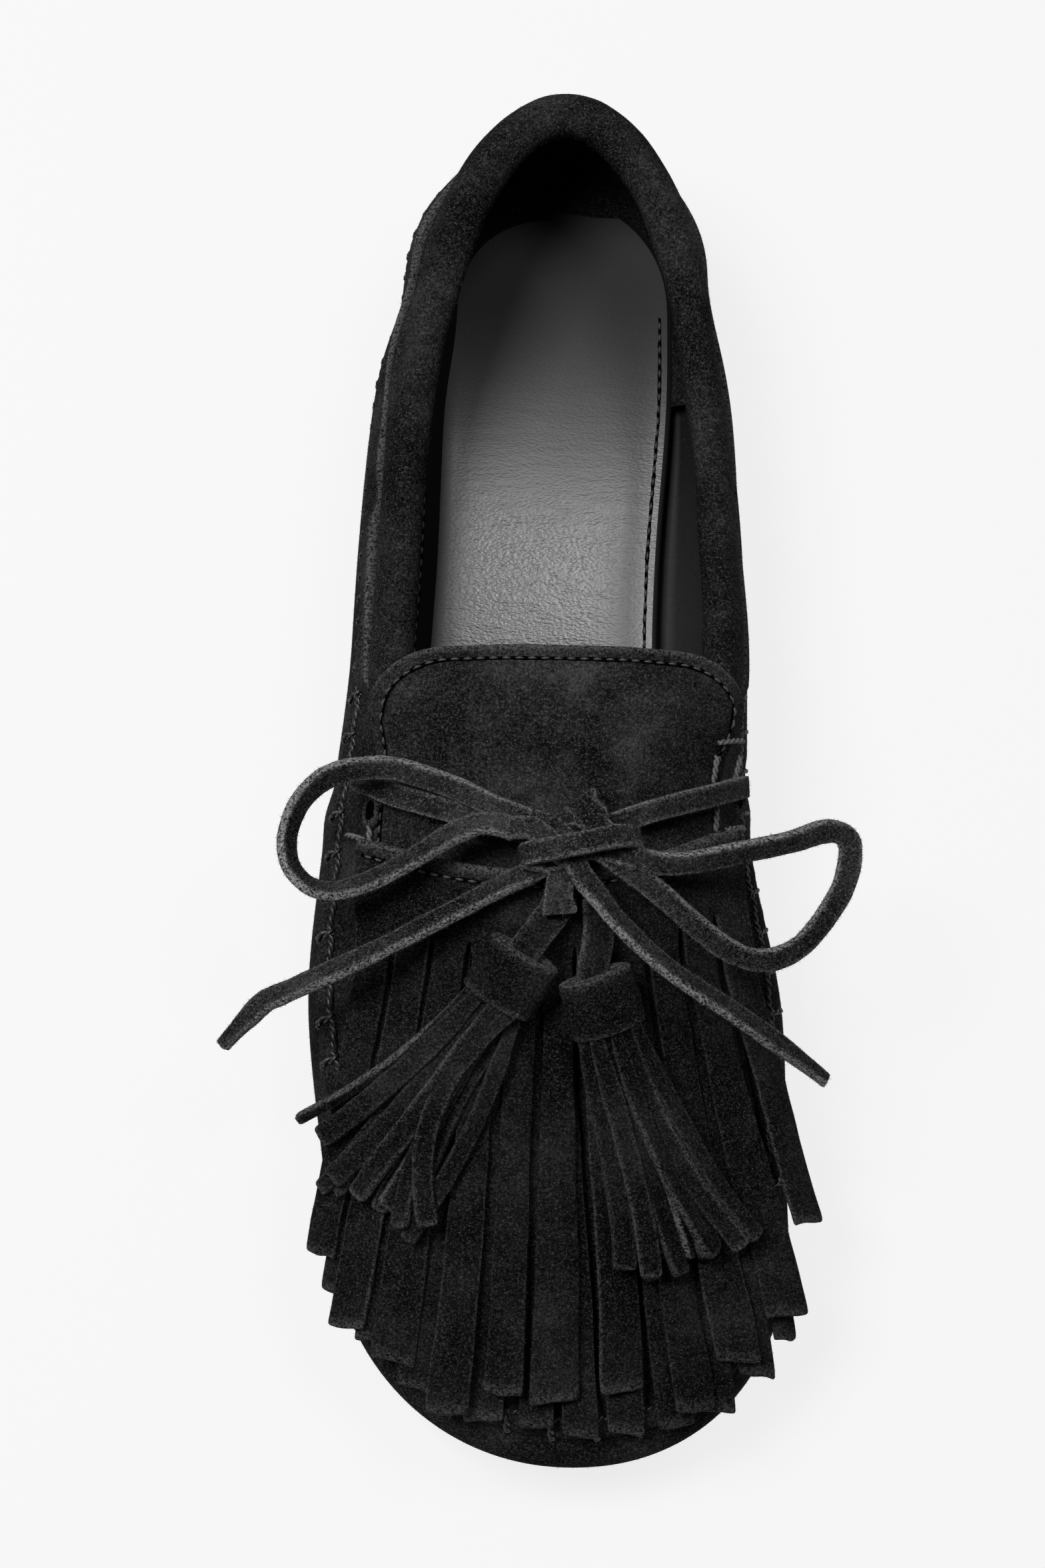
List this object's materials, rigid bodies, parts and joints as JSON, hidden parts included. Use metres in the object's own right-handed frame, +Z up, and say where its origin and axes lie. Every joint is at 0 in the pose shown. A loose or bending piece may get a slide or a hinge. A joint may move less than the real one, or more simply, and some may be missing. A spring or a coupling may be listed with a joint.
{
  "type": "kiltie loafer",
  "caption": "Right suede moccasin loafer with a raised hand-sewn seam, padded collar, fringed kiltie, thong bow and tassels, on a thin sole with a low heel.",
  "frame": {"origin": "on the floor under the middle of the heel, on the heel's flat underside", "axes": "+Y from toe to heel along the shoe, +X towards the medial side of this right shoe, +Z up"},
  "size_m": [0.1172, 0.2582, 0.0654],
  "materials": {
    "upper": "black suede, matte with a short nap",
    "outsole": "matte black",
    "heel": "matte black",
    "insole": "smooth black, fine grain, satin",
    "collar_roll": "black suede, matte, padded",
    "tongue": "black suede, matte with a short nap",
    "kiltie_under": "black suede, matte",
    "kiltie_over": "black suede, matte",
    "lace_crossing": "black suede thong, matte",
    "bow_knot": "black suede thong, matte",
    "bow_loop_lateral": "black suede thong, matte",
    "bow_loop_medial": "black suede thong, matte",
    "lace_end_lateral": "black suede thong, matte",
    "lace_end_medial": "black suede thong, matte",
    "tassel_strap_lateral": "black suede, matte",
    "tassel_strap_medial": "black suede, matte",
    "tassel_lateral": "black suede, matte",
    "tassel_medial": "black suede, matte"
  },
  "bodies": {
    "root": {"upper": "upper", "outsole": "outsole", "heel": "heel", "insole": "insole", "collar_roll": "collar_roll", "tongue": "tongue", "kiltie_under": "kiltie_under", "kiltie_over": "kiltie_over", "lace_crossing": "lace_crossing", "bow_knot": "bow_knot", "bow_loop_lateral": "bow_loop_lateral", "bow_loop_medial": "bow_loop_medial", "lace_end_lateral": "lace_end_lateral", "lace_end_medial": "lace_end_medial", "tassel_strap_lateral": "tassel_strap_lateral", "tassel_strap_medial": "tassel_strap_medial", "tassel_lateral": "tassel_lateral", "tassel_medial": "tassel_medial"}
  },
  "joints": []
}
